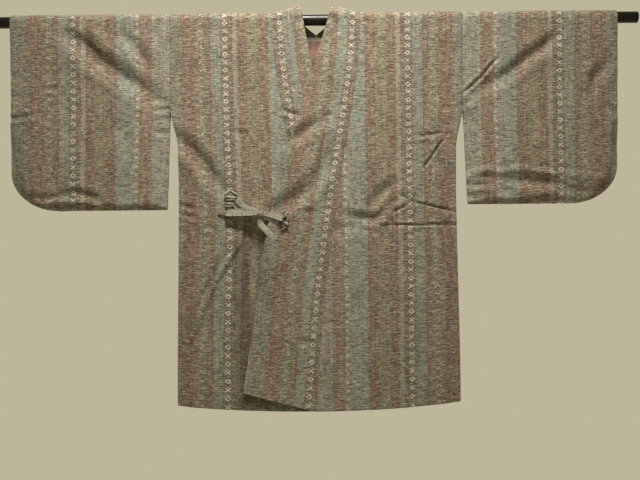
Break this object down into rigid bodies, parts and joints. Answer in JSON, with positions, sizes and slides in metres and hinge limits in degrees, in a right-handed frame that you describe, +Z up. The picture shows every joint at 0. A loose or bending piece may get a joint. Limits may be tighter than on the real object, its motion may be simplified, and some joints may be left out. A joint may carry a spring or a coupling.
{
  "type": "kimono coat hung on a rod",
  "caption": "Wrap-over dochugi kimono coat in striped tsumugi with rounded sleeves, a wide collar and a side tie, hung flat on a straight rod.",
  "frame": {"origin": "on the rod's axis at the coat's centre line, where the rod carries the coat", "axes": "+X along the rod towards the wearer's left (the viewer's right from the front), -Y out of the coat's front, +Z up"},
  "size_m": [1.42, 0.0449, 0.8971],
  "materials": {
    "cloth": "matt slubby tsumugi with lengthwise stripes and small woven kasuri motifs",
    "lining": "smooth dusty red lining with a slight sheen",
    "tie": "the coat's own cloth cut from its pale grey stripe",
    "rod": "black semi-gloss paint on steel tube"
  },
  "bodies": {
    "root": {"rod": "rod", "body_left": "cloth", "body_right": "cloth", "sleeve_left": "cloth", "sleeve_right": "cloth", "collar_left": "cloth", "collar_right": "cloth", "lining_back": "lining", "tie_base_right": "tie", "tie_base_left": "tie", "tie_knot": "tie", "tie_strap_right": "tie", "tie_tail_right": "tie", "tie_loop_right": "tie", "tie_stub_right": "tie", "tie_strap_left": "tie", "tie_loop_left": "tie", "tie_tail_left": "tie"}
  },
  "joints": []
}
